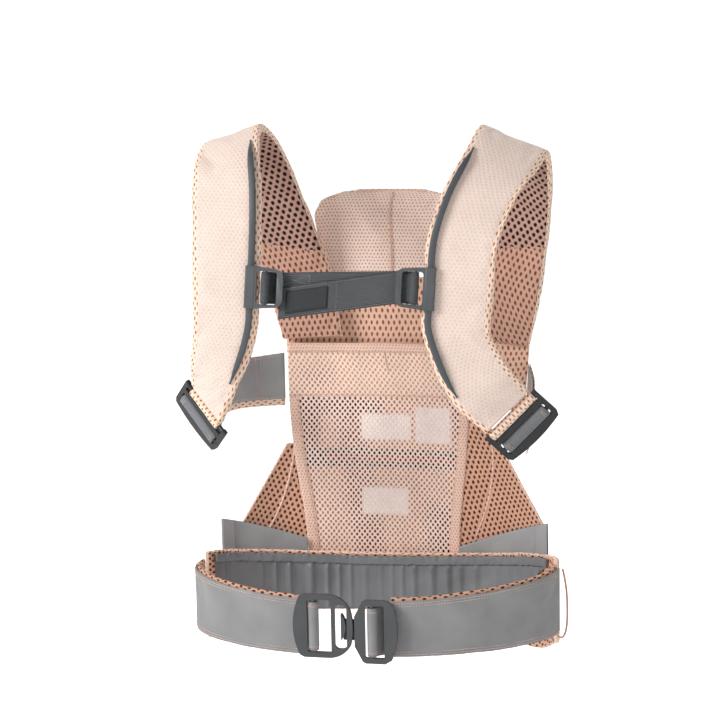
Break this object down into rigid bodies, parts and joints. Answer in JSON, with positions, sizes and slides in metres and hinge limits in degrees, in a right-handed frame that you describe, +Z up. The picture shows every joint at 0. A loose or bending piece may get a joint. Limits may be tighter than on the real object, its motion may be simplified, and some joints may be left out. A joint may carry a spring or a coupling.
{
  "type": "soft baby carrier",
  "caption": "Soft baby carrier as worn: padded shoulder straps, mesh front panel, leg gussets, waist belt with buckle, sliding back strap and folding head support.",
  "frame": {"origin": "centre of the waist ring, on the wearer's vertical axis, at the belt's mid height", "axes": "+Z up, +X to the wearer's right, +Y to the front panel and the baby, -Y to the back strap and the waist buckle"},
  "size_m": [0.4836, 0.2592, 0.6801],
  "materials": {
    "strap_knit": "fine dimpled warp knit, pale pink",
    "pad_foam": "polyurethane foam core inside the strap",
    "spacer_mesh": "coarse three-dimensional spacer mesh, pale pink brown",
    "panel_mesh": "perforated warp knit mesh, pale pink",
    "gusset_mesh": "coarse oval-hole mesh, pink brown",
    "rail_tape": "ribbed dark grey rail moulding",
    "slider_plastic": "fine grained dark grey acetal",
    "clip_plastic": "fine grained mid grey acetal",
    "black_plastic": "near black acetal",
    "waist_plastic": "dark grey acetal",
    "dark_webbing": "dark grey woven webbing",
    "patch_fabric": "blank woven patch, near black",
    "belt_fabric": "tightly woven mid grey polyester, slightly satin",
    "lining_fabric": "thin gathered grey polyester",
    "elastic": "flat waist elastic inside its hem",
    "label_satin": "white satin care label, blank",
    "zip_tape": "dark zip tape with dark red teeth",
    "cord_elastic": "thin covered elastic cord, pink brown"
  },
  "bodies": {
    "carrier": {"belt_lining_left": "spacer_mesh", "belt_lining_right": "spacer_mesh", "belt_loop_left": "belt_fabric", "belt_loop_right": "belt_fabric", "care_labels": "label_satin", "clip_receiver_left": "clip_plastic", "clip_receiver_right": "clip_plastic", "clip_tongue_left": "clip_plastic", "clip_tongue_right": "clip_plastic", "clip_webbing_left": "dark_webbing", "clip_webbing_right": "dark_webbing", "front_panel": "panel_mesh", "gathered_lining": "lining_fabric", "gusset_left": "gusset_mesh", "gusset_right": "gusset_mesh", "hem_casing": "lining_fabric", "hip_pad": "spacer_mesh", "keeper_cord": "cord_elastic", "pocket_panel": "panel_mesh", "rail_left": "rail_tape", "rail_right": "rail_tape", "seat_trim_left": "belt_fabric", "seat_trim_right": "belt_fabric", "seat_zip": "zip_tape", "shoulder_cover_left": "strap_knit", "shoulder_cover_right": "strap_knit", "shoulder_lining_left": "spacer_mesh", "shoulder_lining_right": "spacer_mesh", "shoulder_pad_left": "pad_foam", "shoulder_pad_right": "pad_foam", "side_backing_left": "spacer_mesh", "side_backing_right": "spacer_mesh", "side_strap_left": "belt_fabric", "side_strap_right": "belt_fabric", "strap_hem_left": "strap_knit", "strap_hem_right": "strap_knit", "waist_belt_left": "belt_fabric", "waist_belt_right": "belt_fabric", "waist_elastic": "elastic", "wing_right": "panel_mesh"},
    "back_strap": {"slider_left": "slider_plastic", "slider_right": "slider_plastic", "back_webbing_inner": "dark_webbing", "back_webbing_outer": "dark_webbing", "blank_patch": "patch_fabric"},
    "waist_buckle_left": {"waist_frame": "waist_plastic"},
    "waist_buckle_right": {"waist_hook": "waist_plastic"},
    "side_buckle_left": {"side_frame_left": "black_plastic", "side_sleeve_left": "belt_fabric"},
    "side_buckle_right": {"side_frame_right": "black_plastic", "side_sleeve_right": "belt_fabric"},
    "headrest": {"head_support": "panel_mesh", "head_buttons": "clip_plastic"},
    "button_left": {"clip_button_left": "clip_plastic"},
    "button_right": {"clip_button_right": "clip_plastic"}
  },
  "joints": [
    {"name": "back_strap_slide", "type": "slide", "parent": "carrier", "child": "back_strap", "axis": [0.0597, 0.0697, 0.9958], "range_m": [-0.018, 0.018]},
    {"name": "waist_frame_hinge", "type": "hinge", "parent": "carrier", "child": "waist_buckle_left", "pos_m": [-0.053, -0.121, -0.008], "axis": [0, 0, -1], "range_deg": [0, 20]},
    {"name": "waist_hook_hinge", "type": "hinge", "parent": "carrier", "child": "waist_buckle_right", "pos_m": [0.02, -0.121, -0.013], "axis": [0, 0, -1], "range_deg": [0, 25]},
    {"name": "side_buckle_left_hinge", "type": "hinge", "parent": "carrier", "child": "side_buckle_left", "pos_m": [-0.19094, -0.08616, 0.25311], "axis": [-0.6332, 0.2396, 0.7359], "range_deg": [0, 25]},
    {"name": "side_buckle_right_hinge", "type": "hinge", "parent": "carrier", "child": "side_buckle_right", "pos_m": [0.18878, -0.08715, 0.25124], "axis": [-0.6949, -0.1226, -0.7086], "range_deg": [0, 25]},
    {"name": "headrest_fold", "type": "hinge", "parent": "carrier", "child": "headrest", "pos_m": [0, 0.1215, 0.393], "axis": [-1, 0, 0], "range_deg": [0, 160]},
    {"name": "button_left_press", "type": "slide", "parent": "carrier", "child": "button_left", "axis": [0, -1, 0], "range_m": [0, 0.002], "stiffness_N_per_m": 600, "springref_m": -0.002},
    {"name": "button_right_press", "type": "slide", "parent": "carrier", "child": "button_right", "axis": [0, -1, 0], "range_m": [0, 0.002], "stiffness_N_per_m": 600, "springref_m": -0.002}
  ]
}
